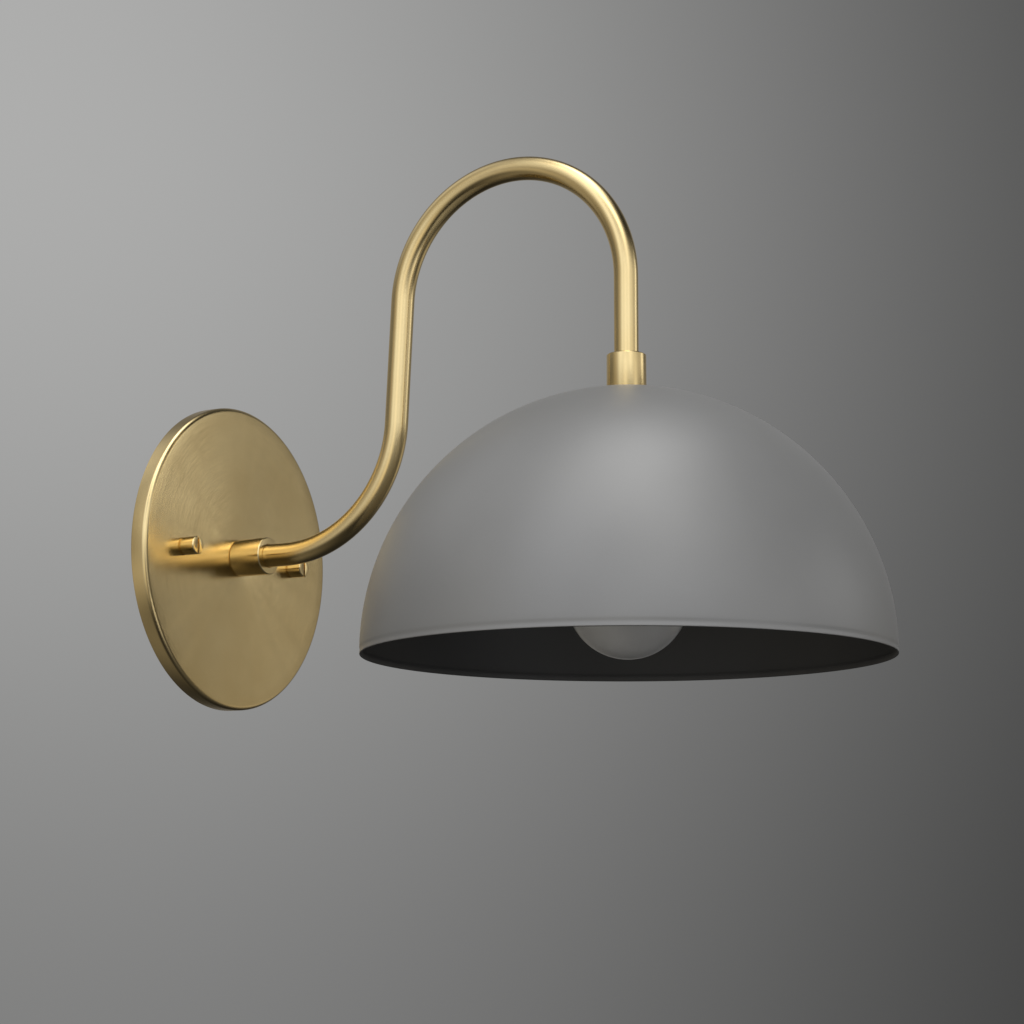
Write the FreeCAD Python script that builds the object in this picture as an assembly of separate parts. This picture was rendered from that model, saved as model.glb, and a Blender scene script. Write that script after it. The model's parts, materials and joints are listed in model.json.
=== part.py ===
import FreeCAD, Part
import math
import os

# Gooseneck wall light: a bent brass arm carries a half-round spun shade in front of
# a round brass canopy, which two cap nuts hold to a steel plate on the wall box.
# Millimetres. X is to the right, the wall is the plane Y = 0 and the light stands out
# of it towards -Y, +Z is up. The origin is the canopy's centre, on the wall.

# ---- driving dimensions ----------------------------------------------------------

# canopy and the steel plate behind it
canopy_radius = 79.4
canopy_depth = 9.0
canopy_wall = 1.2
canopy_edge_radius = 2.4
plate_radius = 57.0
plate_thickness = 2.0
plate_rim_width = 2.0
plate_rim_height = 1.6
plate_opening_radius = 17.0
box_screw_spacing = 88.9
box_slot_width = 4.8
box_slot_length = 12.0

# studs and cap nuts that hold the canopy
stud_spacing = 94.7
stud_radius = 2.08
stud_grip = 5.2
stud_nut_flats = 7.9
stud_nut_height = 3.0
stud_tip_chamfer = 0.7
nut_corner_chamfer = 0.5
cap_nut_radius = 4.6
cap_nut_height = 7.95
cap_nut_chamfer = 0.9
driver_slot_width = 1.2
driver_slot_depth = 1.4
nut_washer_radius = 4.1
nut_washer_thickness = 0.5

# arm
tube_radius = 6.0
tube_wall = 1.0
arm_reach = 235.7
arch_radius = 64.2
arch_centre_height = 124.0
low_bend_radius = 66.2
leg_lean = 2.5
straight_beyond_collar = 3.0

# the two equal collars at the ends of the arm, and what threads into them
collar_radius = 9.7
collar_length = 18.4
collar_chamfer = 0.7
collar_socket_depth = 10.0
nipple_radius = 5.15
nipple_bore = 3.4
nipple_engagement = 7.4
lock_nut_flats = 14.3
lock_nut_height = 3.0
tooth_washer_radius = 7.6
tooth_washer_thickness = 0.8
tooth_count = 12
tooth_depth = 1.0
nipple_stick_out = 1.0
shade_nipple_inset = 0.5
bushing_head_radius = 4.6
bushing_head_height = 0.8
bushing_wall = 0.55
bushing_sleeve = 3.0

# shade
shade_radius = 127.0
shade_skirt = 2.0
shade_crown = 65.9
shade_crown_radius = 11.0
shade_wall = 1.0
shade_washer_radius = 10.4
shade_washer_thickness = 1.0

# lamp holder
cap_thread_length = 4.6
cap_hub_radius = 8.0
cap_wall = 0.9
cap_shoulder_radius = 5.0
cap_room_height = 7.1
cap_skirt_length = 4.0
holder_radius = 18.5
holder_web = 1.9
holder_length = 28.0
holder_lip_radius = 19.6
holder_lip_height = 3.2
holder_lip_round = 1.9
shell_radius = 13.25
shell_wall = 0.45
shell_recess = 2.0
shell_flange_opening = 9.0
leaf_width = 5.0
leaf_length = 15.6
leaf_thickness = 0.5
leaf_bow = 0.9
rivet_radius = 1.1
rivet_head_radius = 1.9
rivet_head_height = 0.6
rivet_reach = 6.2
terminal_thickness = 0.8
terminal_reach = 12.0
terminal_half_width = 3.0
terminal_screw_radius = 1.6
terminal_head_radius = 3.1
terminal_head_height = 1.6
terminal_slot_width = 0.9
side_screw_radius = 1.2
side_screw_head_radius = 2.3
side_screw_head_height = 1.2
side_screw_bite = 2.4

# bulb
bulb_length = 108.0
bulb_radius = 29.5
bulb_neck_radius = 13.4
bulb_neck_drop = 36.0
bulb_glass = 0.9
base_radius = 12.95
base_length = 25.5
base_wall = 0.4
base_tip_radius = 4.6
base_tip_height = 1.0
insulator_height = 3.0
insulator_radius = 9.6
insulator_top_radius = 5.6
stem_radius = 3.4
stem_flare_radius = 10.6
stem_length = 34.0
stem_pinch_length = 8.5
stem_flare_length = 8.5
filament_half_span = 13.0
filament_rise = 5.0
filament_radius = 0.45
support_wire_radius = 0.45
wire_hook_radius = 0.9
filament_drop = 79.0

# insulated leads and the earth connection
lead_radius = 1.1
lead_offset = 1.25
core_radius = 0.5
lead_bend_radius = 4.0
lead_end_inset = 1.0
core_stick_out = 0.6
core_stub = 0.3
lug_radius = 8.4
lug_thickness = 0.8
lug_tail_length = 13.5
lug_tail_half_width = 2.2
earth_screw_x = 20.0
earth_screw_z = -28.0
earth_screw_radius = 1.95
earth_head_radius = 3.9
earth_head_height = 2.0
earth_bend_radius = 6.0
earth_strip_length = 3.6

# clearances
thread_clearance = 0.03
running_clearance = 0.06
hole_clearance = 0.35
slip_clearance = 0.1
fit_clearance = 0.1
touch_gap = 0.05

# ---- places that follow from the sizes above --------------------------------------

inside_face = canopy_depth - canopy_wall
tube_end = canopy_depth + collar_length - collar_socket_depth
collar_top = shade_crown + collar_length
lower_tube_end = collar_top - collar_socket_depth
shade_inside = shade_crown - shade_wall
sphere_centre = shade_crown - math.sqrt(shade_radius ** 2 - shade_crown_radius ** 2)
shade_rim = sphere_centre - shade_skirt
shade_nut_top = shade_inside - shade_washer_thickness - tooth_washer_thickness
cap_top = shade_nut_top - lock_nut_height
cap_ceiling = cap_top - cap_thread_length - cap_wall
holder_top = cap_ceiling - cap_room_height
web_under = holder_top - holder_web
bulb_tip = web_under - leaf_thickness - leaf_bow
bulb_centre = bulb_tip - bulb_length + bulb_radius
shade_nipple_end = cap_top - cap_thread_length + shade_nipple_inset
hub_nut_face = inside_face - tooth_washer_thickness - lug_thickness
hub_nipple_end = hub_nut_face - lock_nut_height - nipple_stick_out

UP = FreeCAD.Vector(0, 0, 1)
DOWN = FreeCAD.Vector(0, 0, -1)
OUT = FreeCAD.Vector(0, -1, 0)
RIGHT = FreeCAD.Vector(1, 0, 0)
FULL_TURN = 360
CUT_OVER = 1.0


# ---- drawing helpers ---------------------------------------------------------------

class Outline:
    """A closed profile of radius against height, drawn edge by edge."""

    def __init__(self, radius, height):
        self.start = self.pen = FreeCAD.Vector(radius, 0, height)
        self.edges = []

    def line(self, radius, height):
        end = FreeCAD.Vector(radius, 0, height)
        self.edges.append(Part.makeLine(self.pen, end))
        self.pen = end
        return self

    def arc(self, centre_radius, centre_height, radius, height):
        """The short way round the centre from the pen to the given point."""
        centre = FreeCAD.Vector(centre_radius, 0, centre_height)
        end = FreeCAD.Vector(radius, 0, height)
        middle = (self.pen - centre).normalize() + (end - centre).normalize()
        middle = centre + middle.normalize() * (end - centre).Length
        self.edges.append(Part.Arc(self.pen, middle, end).toShape())
        self.pen = end
        return self

    def face(self):
        if (self.pen - self.start).Length > 1e-6:
            self.line(self.start.x, self.start.z)
        return Part.Face(Part.Wire(self.edges))

    def turned(self):
        return self.face().revolve(FreeCAD.Vector(), UP, FULL_TURN)


class Path:
    """A centre line of straight runs and tangent bends, swept with a round section."""

    def __init__(self, start, heading):
        self.start = self.pen = start
        self.first_heading = self.heading = heading
        self.edges = []

    def run(self, length):
        end = self.pen + self.heading * length
        self.edges.append(Part.makeLine(self.pen, end))
        self.pen = end
        return self

    def bend(self, towards, radius, degrees):
        side = towards - self.heading * towards.dot(self.heading)
        side.normalize()
        centre = self.pen + side * radius

        def point(angle):
            return centre - side * radius * math.cos(angle) + self.heading * radius * math.sin(angle)

        turn = math.radians(degrees)
        middle, end = point(turn / 2), point(turn)
        self.edges.append(Part.Arc(self.pen, middle, end).toShape())
        self.heading = self.heading * math.cos(turn) + side * math.sin(turn)
        self.pen = end
        return self

    def swept(self, radius):
        section = Part.Wire(Part.makeCircle(radius, self.start, self.first_heading))
        return Part.Wire(self.edges).makePipeShell([section], True, False)


def rod(radius, length, base, axis):
    return Part.makeCylinder(radius, length, base, axis)


def disc(radius, bottom, top, bore=0.0):
    """A round plate about Z, with a hole where bore is given."""
    body = rod(radius, top - bottom, UP * bottom, UP)
    if bore:
        body = body.cut(rod(bore, top - bottom + 2 * CUT_OVER, UP * (bottom - CUT_OVER), UP))
    return body


def hexagon(flats, bottom, top, bore):
    """A hex nut about Z, its corners turned off on both faces."""
    corner = flats / math.sqrt(3)
    points = [FreeCAD.Vector(corner * math.cos(math.radians(a)), corner * math.sin(math.radians(a)), bottom)
              for a in range(0, FULL_TURN + 1, FULL_TURN // 6)]
    prism = Part.Face(Part.makePolygon(points)).extrude(UP * (top - bottom))
    chamfer = nut_corner_chamfer
    crown = corner - chamfer
    turned_off = (Outline(0, bottom).line(crown, bottom).line(corner, bottom + chamfer / 2)
                  .line(corner, top - chamfer / 2).line(crown, top).line(0, top).turned())
    return prism.common(turned_off).cut(disc(bore, bottom - CUT_OVER, top + CUT_OVER))


def block(x0, y0, z0, x1, y1, z1):
    return Part.makeBox(x1 - x0, y1 - y0, z1 - z0, FreeCAD.Vector(x0, y0, z0))


def tooth_washer(bottom, top):
    """A lock washer about Z with teeth round its outer edge."""
    body = disc(tooth_washer_radius, bottom, top, nipple_radius + hole_clearance)
    gap_radius = math.pi * tooth_washer_radius / tooth_count / 2
    reach = tooth_washer_radius + gap_radius - tooth_depth
    gaps = [rod(gap_radius, top - bottom + 2 * CUT_OVER,
                FreeCAD.Vector(reach * math.cos(a), reach * math.sin(a), bottom - CUT_OVER), UP)
            for a in (2 * math.pi * i / tooth_count for i in range(tooth_count))]
    return body.cut(Part.makeCompound(gaps))


def on_wall(shape, x=0.0, z=0.0):
    """Turns a piece drawn along +Z so that it points out of the wall, and places it."""
    placed = shape.copy()
    placed.rotate(FreeCAD.Vector(), RIGHT, FULL_TURN / 4)
    placed.translate(FreeCAD.Vector(x, 0, z))
    return placed


def on_lamp(shape):
    """Moves a piece drawn about Z onto the shade's axis."""
    placed = shape.copy()
    placed.translate(OUT * arm_reach)
    return placed


# ---- wall side ---------------------------------------------------------------------

def mounting_plate():
    """A pressed steel disc with a stiffening rim, box screw slots and tapped holes."""
    rim_inside = plate_radius - plate_rim_width
    front = plate_thickness + plate_rim_height
    body = (Outline(plate_opening_radius, 0).line(plate_radius, 0).line(plate_radius, front)
            .line(rim_inside, front).line(rim_inside, plate_thickness)
            .line(plate_opening_radius, plate_thickness).turned())
    straight = (box_slot_length - box_slot_width) / 2
    for side in (-1, 1):
        centre = side * box_screw_spacing / 2
        slot = block(-box_slot_width / 2, centre - straight, -CUT_OVER,
                     box_slot_width / 2, centre + straight, plate_thickness + CUT_OVER)
        for end in (-straight, straight):
            slot = slot.fuse(rod(box_slot_width / 2, plate_thickness + 2 * CUT_OVER,
                                 FreeCAD.Vector(0, centre + end, -CUT_OVER), UP))
        body = body.cut(slot)
        stud_hole = rod(stud_radius + thread_clearance, front + CUT_OVER,
                        FreeCAD.Vector(side * stud_spacing / 2, 0, -CUT_OVER), UP)
        body = body.cut(stud_hole)
    earth_hole = rod(earth_screw_radius + thread_clearance, front + CUT_OVER,
                     FreeCAD.Vector(earth_screw_x, earth_screw_z, -CUT_OVER), UP)
    return on_wall(body.cut(earth_hole))


def canopy():
    """A spun dish, open to the wall, with a rounded front edge."""
    edge, wall = canopy_edge_radius, canopy_wall
    bore = nipple_radius + hole_clearance
    shoulder = canopy_radius - edge
    body = (Outline(bore, canopy_depth).line(shoulder, canopy_depth)
            .arc(shoulder, canopy_depth - edge, canopy_radius, canopy_depth - edge)
            .line(canopy_radius, 0).line(canopy_radius - wall, 0)
            .line(canopy_radius - wall, canopy_depth - edge)
            .arc(shoulder, canopy_depth - edge, shoulder, inside_face)
            .line(bore, inside_face).turned())
    for side in (-1, 1):
        hole = rod(stud_radius + hole_clearance, canopy_depth,
                   FreeCAD.Vector(side * stud_spacing / 2, 0, canopy_wall), UP)
        body = body.cut(hole)
    return on_wall(body)


def studs():
    tip = canopy_depth + nut_washer_thickness + stud_grip
    body = (Outline(0, 0).line(stud_radius, 0).line(stud_radius, tip - stud_tip_chamfer)
            .line(stud_radius - stud_tip_chamfer, tip).line(0, tip).turned())
    return both_sides(body)


def both_sides(body):
    return Part.makeCompound([on_wall(body, side * stud_spacing / 2) for side in (-1, 1)])


def stud_nuts():
    body = hexagon(stud_nut_flats, plate_thickness, plate_thickness + stud_nut_height,
                   stud_radius + thread_clearance)
    return both_sides(body)


def cap_nut(side):
    """A round cap nut: blind hole, chamfered rim, low crown and a driver slot."""
    foot = canopy_depth + nut_washer_thickness
    top = foot + cap_nut_height
    flat = cap_nut_radius - cap_nut_chamfer
    hole = stud_radius + running_clearance
    hole_end = foot + stud_grip + touch_gap
    body = (Outline(hole, foot).line(cap_nut_radius, foot)
            .line(cap_nut_radius, top - cap_nut_chamfer).line(flat, top)
            .line(0, top).line(0, hole_end).line(hole, hole_end).turned())
    slot = block(-driver_slot_width / 2, -cap_nut_radius, top - driver_slot_depth,
                 driver_slot_width / 2, cap_nut_radius, top + CUT_OVER)
    return on_wall(body.cut(slot), side * stud_spacing / 2)


def cap_nut_washer(side):
    body = disc(nut_washer_radius, canopy_depth, canopy_depth + nut_washer_thickness,
                stud_radius + slip_clearance)
    return on_wall(body, side * stud_spacing / 2)


def earth_screw():
    top = plate_thickness + 2 * core_radius + earth_head_height
    body = disc(earth_screw_radius, 0, top).fuse(disc(earth_head_radius, top - earth_head_height, top))
    slot = block(-earth_head_radius, -terminal_slot_width / 2, top - earth_head_height / 2,
                 earth_head_radius, terminal_slot_width / 2, top + CUT_OVER)
    return on_wall(body.cut(slot), earth_screw_x, earth_screw_z)


def earth_lug():
    """The ring terminal under the hub's lock nut, with a tail that grips the earth lead."""
    bottom, top = hub_nut_face, hub_nut_face + lug_thickness
    ring = disc(lug_radius, bottom, top)
    tail = block(-lug_tail_half_width, -lug_tail_length, bottom, lug_tail_half_width, 0, top)
    body = ring.fuse(tail).removeSplitter()
    return on_wall(body.cut(disc(nipple_radius + hole_clearance, bottom - CUT_OVER, top + CUT_OVER)))


def earth_lead():
    """A short insulated lead from the lug's tail to the earth screw on the plate."""
    level = hub_nut_face - lead_radius
    start = FreeCAD.Vector(0, -level, -lug_tail_length + 2 * lead_radius)
    sideways = earth_lead_tip() - earth_bend_radius
    down = -earth_screw_z + start.z - earth_bend_radius
    path = Path(start, DOWN).run(down).bend(RIGHT, earth_bend_radius, FULL_TURN / 4).run(sideways)
    return path.swept(lead_radius)


def earth_lead_tip():
    return earth_screw_x - earth_head_radius - earth_strip_length


def earth_core():
    """The bare end of the earth lead, stepped down under the earth screw's head."""
    level = hub_nut_face - lead_radius
    start = FreeCAD.Vector(earth_lead_tip(), -level, earth_screw_z)
    to_wall = FreeCAD.Vector(0, 1, 0)
    drop = level - plate_thickness - core_radius
    return stepped_core(start, RIGHT, to_wall, drop, earth_screw_x - earth_screw_radius - fit_clearance)


def stepped_core(start, along, aside, drop, reach):
    """A bare wire that leaves its lead straight, steps aside at 45 degrees and runs on to reach."""
    knee = start + along * core_stub
    foot = knee + (along + aside) * drop
    end = foot + along * (reach - abs(foot.dot(along)))
    body = rod(core_radius, core_stub, start, along)
    for corner, tip in ((knee, foot), (foot, end)):
        joint = Part.makeSphere(core_radius, corner)
        body = body.fuse([joint, rod(core_radius, (tip - corner).Length, corner, tip - corner)])
    beyond_lead = rod(plate_radius, plate_radius, start, along)
    return body.common(beyond_lead).removeSplitter()


# ---- arm and collars ----------------------------------------------------------------

def collar(foot):
    """A turned collar about Z: threaded at its foot, bored for the tube at its top."""
    top = foot + collar_length
    thread = nipple_radius + thread_clearance
    bore = tube_radius + slip_clearance
    shoulder = top - collar_socket_depth
    return (Outline(thread, foot).line(collar_radius, foot)
            .line(collar_radius, top - collar_chamfer).line(collar_radius - collar_chamfer, top)
            .line(bore, top).line(bore, shoulder).line(thread, shoulder).turned())


def nipple(bottom, top):
    return disc(nipple_radius, bottom, top, nipple_bore)


def nipple_bushing(end, inward):
    """A plastic bushing about Z that lines the nipple's end; inward is +1 or -1."""
    sleeve = nipple_bore - fit_clearance / 2
    inner = sleeve - bushing_wall
    tip = end + inward * bushing_sleeve
    head = end - inward * bushing_head_height
    return (Outline(inner, head).line(bushing_head_radius, head).line(bushing_head_radius, end)
            .line(sleeve, end).line(sleeve, tip).line(inner, tip).turned())


def low_bend():
    """The low bend's radius, tightened where the reach leaves it less room beyond the collar."""
    lean = math.radians(leg_lean)
    room = arm_reach - arch_radius - canopy_depth - collar_length - straight_beyond_collar
    widest = room - arch_radius / math.cos(lean) - arch_centre_height * math.tan(lean)
    return min(low_bend_radius, widest / (1 / math.cos(lean) - math.tan(lean)))


def arm_path(start_depth, x, finish_height):
    """The arm's centre line, from a depth in front of the wall to a height over the shade."""
    lean = math.radians(leg_lean)
    radii = arch_radius + low_bend()
    leg = (arch_centre_height + radii * math.sin(lean) - low_bend()) / math.cos(lean)
    bend_depth = arm_reach - arch_radius - radii * math.cos(lean) - leg * math.sin(lean)
    path = Path(FreeCAD.Vector(x, -start_depth, 0), OUT)
    path.run(bend_depth - start_depth).bend(UP, low_bend(), FULL_TURN / 4 - leg_lean)
    path.run(leg).bend(OUT, arch_radius, FULL_TURN / 2 - leg_lean)
    return path.run(path.pen.z - finish_height)


def arm_tube():
    path = arm_path(tube_end, 0, lower_tube_end)
    body = path.swept(tube_radius).cut(path.swept(tube_radius - tube_wall))
    area = math.pi * (tube_radius ** 2 - (tube_radius - tube_wall) ** 2)
    length = sum(edge.Length for edge in path.edges)
    print("arm tube: length", round(length, 1), "volume ratio", round(body.Volume / (area * length), 5))
    return body


# ---- shade ---------------------------------------------------------------------------

def shade():
    """A half-round spun bowl with a flat crown, where the collar sits, and a short skirt."""
    inner_radius = shade_radius - shade_wall
    inner_crown = math.sqrt(inner_radius ** 2 - (shade_inside - sphere_centre) ** 2)
    bore = nipple_radius + hole_clearance
    lip = shade_wall / 2
    body = (Outline(bore, shade_crown).line(shade_crown_radius, shade_crown)
            .arc(0, sphere_centre, shade_radius, sphere_centre)
            .line(shade_radius, shade_rim + lip)
            .arc(shade_radius - lip, shade_rim + lip, shade_radius - lip, shade_rim)
            .arc(shade_radius - lip, shade_rim + lip, inner_radius, shade_rim + lip)
            .line(inner_radius, sphere_centre)
            .arc(0, sphere_centre, inner_crown, shade_inside)
            .line(bore, shade_inside).turned())
    return on_lamp(body)


def shade_washer():
    return on_lamp(disc(shade_washer_radius, shade_inside - shade_washer_thickness, shade_inside,
                        nipple_radius + hole_clearance))


# ---- lamp holder ---------------------------------------------------------------------

def holder_cap():
    """The brass cap: a threaded hub, a rounded shoulder and a skirt over the body."""
    bore = nipple_radius + thread_clearance
    skirt_inside = holder_radius + slip_clearance
    skirt = skirt_inside + cap_wall
    roof = cap_ceiling + cap_wall
    skirt_end = holder_top - cap_skirt_length
    outer, inner = cap_shoulder_radius, cap_shoulder_radius - cap_wall
    body = (Outline(bore, cap_top).line(cap_hub_radius, cap_top).line(cap_hub_radius, roof)
            .line(skirt - outer, roof).arc(skirt - outer, roof - outer, skirt, roof - outer)
            .line(skirt, skirt_end).line(skirt_inside, skirt_end)
            .line(skirt_inside, cap_ceiling - inner)
            .arc(skirt_inside - inner, cap_ceiling - inner, skirt_inside - inner, cap_ceiling)
            .line(bore, cap_ceiling).turned())
    level = holder_top - cap_skirt_length / 2
    for side in (-1, 1):
        body = body.cut(rod(side_screw_radius + slip_clearance, 2 * cap_wall + CUT_OVER,
                            FreeCAD.Vector(0, side * (skirt_inside - CUT_OVER / 2), level),
                            FreeCAD.Vector(0, side, 0)))
    return on_lamp(body)


def side_screws():
    """Two small screws that hold the cap's skirt to the lamp holder's body."""
    level = holder_top - cap_skirt_length / 2
    seat = holder_radius + slip_clearance + cap_wall
    screws = []
    for side in (-1, 1):
        outward = FreeCAD.Vector(0, side, 0)
        tip = outward * (holder_radius - side_screw_bite) + UP * level
        shank = rod(side_screw_radius, seat - holder_radius + side_screw_bite, tip, outward)
        head = rod(side_screw_head_radius, side_screw_head_height, outward * seat + UP * level, outward)
        screws.append(on_lamp(shank.fuse(head).removeSplitter()))
    return Part.makeCompound(screws)


def holder_body():
    """The porcelain body: a web under the cap, a deep bore for the shell, a rolled lip."""
    bore = shell_radius + shell_wall + fit_clearance
    mouth = holder_top - holder_length
    lip_top = mouth + holder_lip_height
    body = (Outline(0, holder_top).line(holder_radius, holder_top).line(holder_radius, lip_top)
            .line(holder_lip_radius, lip_top - (holder_lip_radius - holder_radius))
            .line(holder_lip_radius, mouth + holder_lip_round)
            .arc(holder_lip_radius - holder_lip_round, mouth + holder_lip_round,
                 holder_lip_radius - holder_lip_round, mouth)
            .line(bore, mouth).line(bore, web_under).line(0, web_under).turned())
    holes = [rod(rivet_radius + thread_clearance, holder_web + 2 * CUT_OVER,
                 FreeCAD.Vector(0, side * rivet_reach, web_under - CUT_OVER), UP) for side in (-1, 1)]
    holes += [rod(terminal_screw_radius + thread_clearance, holder_web + 2 * CUT_OVER,
                  FreeCAD.Vector(side * terminal_reach, 0, web_under - CUT_OVER), UP) for side in (-1, 1)]
    level = holder_top - cap_skirt_length / 2
    holes += [rod(side_screw_radius + thread_clearance, side_screw_bite + CUT_OVER,
                  FreeCAD.Vector(0, side * (holder_radius - side_screw_bite), level),
                  FreeCAD.Vector(0, side, 0)) for side in (-1, 1)]
    return on_lamp(body.cut(Part.makeCompound(holes)))


def screw_shell():
    """The threaded metal shell that takes the bulb's base, flanged under the web."""
    outer = shell_radius + shell_wall
    mouth = holder_top - holder_length + shell_recess
    flange = web_under - shell_wall
    body = (Outline(shell_flange_opening, web_under).line(outer, web_under).line(outer, mouth)
            .line(shell_radius, mouth).line(shell_radius, flange)
            .line(shell_flange_opening, flange).turned())
    hole = rod(terminal_screw_radius + thread_clearance, 2 * CUT_OVER + shell_wall,
               FreeCAD.Vector(-terminal_reach, 0, flange - CUT_OVER), UP)
    line_hole = rod(terminal_head_radius / 2 + hole_clearance, 2 * CUT_OVER + shell_wall,
                    FreeCAD.Vector(terminal_reach, 0, flange - CUT_OVER), UP)
    return on_lamp(body.cut(hole).cut(line_hole))


def contact_leaf():
    """The bowed brass leaf that presses on the bulb's foot contact."""
    flat_end = rivet_reach - rivet_head_radius - slip_clearance
    half = leaf_length / 2
    low = web_under - leaf_bow
    top = Part.Arc(FreeCAD.Vector(0, -flat_end, web_under), FreeCAD.Vector(0, 0, low),
                   FreeCAD.Vector(0, flat_end, web_under)).toShape()
    under = Part.Arc(FreeCAD.Vector(0, flat_end, web_under - leaf_thickness),
                     FreeCAD.Vector(0, 0, low - leaf_thickness),
                     FreeCAD.Vector(0, -flat_end, web_under - leaf_thickness)).toShape()

    def side(points):
        return Part.makePolygon([FreeCAD.Vector(0, y, z) for y, z in points]).Edges

    right = side([(flat_end, web_under), (half, web_under), (half, web_under - leaf_thickness),
                  (flat_end, web_under - leaf_thickness)])
    left = side([(-flat_end, web_under - leaf_thickness), (-half, web_under - leaf_thickness),
                 (-half, web_under), (-flat_end, web_under)])
    body = Part.Face(Part.Wire([top] + right + [under] + left)).extrude(RIGHT * leaf_width)
    body.translate(RIGHT * (-leaf_width / 2))
    for end in (-1, 1):
        body = body.cut(rod(rivet_radius + thread_clearance, 4 * CUT_OVER,
                            FreeCAD.Vector(0, end * rivet_reach, web_under - 2 * CUT_OVER), UP))
    return on_lamp(body)


def contact_rivets():
    """Two rivets through the web; the rear one also carries the line terminal."""
    rivets = []
    for end in (-1, 1):
        top = holder_top + (terminal_thickness if end > 0 else 0)
        bottom = web_under - leaf_thickness
        base = FreeCAD.Vector(0, end * rivet_reach, 0)
        foot = base + UP * (bottom - rivet_head_height)
        shank = rod(rivet_radius, top - bottom + 2 * rivet_head_height, foot, UP)
        upper = rod(rivet_head_radius, rivet_head_height, base + UP * top, UP)
        lower = rod(rivet_head_radius, rivet_head_height, foot, UP)
        rivets.append(on_lamp(shank.fuse([upper, lower]).removeSplitter()))
    return Part.makeCompound(rivets)


def terminal_plate(points, holes):
    outline = [FreeCAD.Vector(x, y, holder_top) for x, y in points + points[:1]]
    body = Part.Face(Part.makePolygon(outline)).extrude(UP * terminal_thickness)
    for x, y, radius in holes:
        body = body.cut(rod(radius, terminal_thickness + 2 * CUT_OVER,
                            FreeCAD.Vector(x, y, holder_top - CUT_OVER), UP))
    return on_lamp(body)


def line_terminal():
    """A cranked brass plate from the rear rivet to the line screw."""
    half, rivet = terminal_half_width, rivet_head_radius + slip_clearance
    end = terminal_reach + half
    points = [(-rivet, rivet_reach - rivet), (terminal_reach - 2 * half, rivet_reach - rivet),
              (terminal_reach - half, -half), (end, -half), (end, half),
              (terminal_reach - half, rivet_reach + rivet), (-rivet, rivet_reach + rivet)]
    return terminal_plate(points, [(0, rivet_reach, rivet_radius + thread_clearance),
                                   (terminal_reach, 0, terminal_screw_radius + thread_clearance)])


def neutral_terminal():
    half = terminal_half_width
    points = [(-terminal_reach - half, -half), (-terminal_reach + half, -half),
              (-terminal_reach + half, half), (-terminal_reach - half, half)]
    return terminal_plate(points, [(-terminal_reach, 0, terminal_screw_radius + thread_clearance)])


def terminal_screw(side, tip):
    """A slotted screw that clamps a bare lead end; side is +1 or -1 along X."""
    seat = holder_top + terminal_thickness + 2 * core_radius
    top = seat + terminal_head_height
    body = disc(terminal_screw_radius, tip, top).fuse(disc(terminal_head_radius, seat, top)).removeSplitter()
    slot = block(-terminal_head_radius, -terminal_slot_width / 2, top - terminal_head_height / 2,
                 terminal_head_radius, terminal_slot_width / 2, top + CUT_OVER)
    body = body.cut(slot)
    body.translate(RIGHT * side * terminal_reach)
    return on_lamp(body)


# ---- leads in the arm ----------------------------------------------------------------

def lead_level():
    """Height of a lead's centre where it lies over its terminal plate."""
    return holder_top + terminal_thickness + lead_radius + fit_clearance


def lead_tip():
    """Distance from the lamp's axis at which a lead's insulation ends."""
    return terminal_reach - terminal_head_radius - lead_radius - slip_clearance


def lead(side):
    """One insulated lead, from the canopy through the whole arm to its terminal."""
    path = arm_path(lead_end_inset, side * lead_offset, lead_level() + lead_bend_radius)
    path.bend(RIGHT * side, lead_bend_radius, FULL_TURN / 4)
    path.run(lead_tip() - lead_offset - lead_bend_radius)
    return path.swept(lead_radius)


def lead_cores():
    """The bare copper ends of both leads: straight at the wall, stepped at the lamp."""
    cores = []
    under_head = holder_top + terminal_thickness + core_radius
    drop = lead_level() - under_head
    for side in (-1, 1):
        cores.append(rod(core_radius, core_stick_out,
                         FreeCAD.Vector(side * lead_offset, -lead_end_inset, 0), FreeCAD.Vector(0, 1, 0)))
        start = FreeCAD.Vector(side * lead_tip(), -arm_reach, lead_level())
        cores.append(stepped_core(start, RIGHT * side, DOWN, drop,
                                  terminal_reach - terminal_screw_radius - fit_clearance))
    return Part.makeCompound(cores)


# ---- bulb ----------------------------------------------------------------------------

def glass_outline(radius, neck, top, tip_radius):
    """Half of the pear shape: a ball, a hollow flank tangent to it, and a straight neck."""
    turn = bulb_tip - bulb_neck_drop
    rise = turn - bulb_centre
    flank = (neck ** 2 + rise ** 2 - radius ** 2) / (2 * (radius - neck))
    flank_x = neck + flank
    reach = math.hypot(flank_x, rise)
    touch_x, touch_z = radius * flank_x / reach, bulb_centre + radius * rise / reach
    outline = Outline(tip_radius, top).line(neck, turn)
    outline.arc(flank_x, turn, touch_x, touch_z)
    outline.arc(0, bulb_centre, radius, bulb_centre).arc(0, bulb_centre, 0, bulb_centre - radius)
    return outline


def bulb_glass_envelope():
    top = bulb_tip - base_length + base_wall
    outer_tip = base_radius - base_wall - fit_clearance
    outer = glass_outline(bulb_radius, bulb_neck_radius, top, outer_tip).line(0, top).turned()
    inner = glass_outline(bulb_radius - bulb_glass, bulb_neck_radius - bulb_glass, top,
                          outer_tip - bulb_glass).line(0, top).turned()
    return on_lamp(outer.cut(inner))


def bulb_foot():
    """The round contact at the end of the bulb's base, slightly domed."""
    low = bulb_tip - base_tip_height
    dome = base_tip_height / 2
    radius = (base_tip_radius ** 2 + dome ** 2) / (2 * dome)
    body = (Outline(0, low).line(base_tip_radius, low).line(base_tip_radius, bulb_tip - dome)
            .arc(0, bulb_tip - radius, 0, bulb_tip).turned())
    return on_lamp(body)


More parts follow.
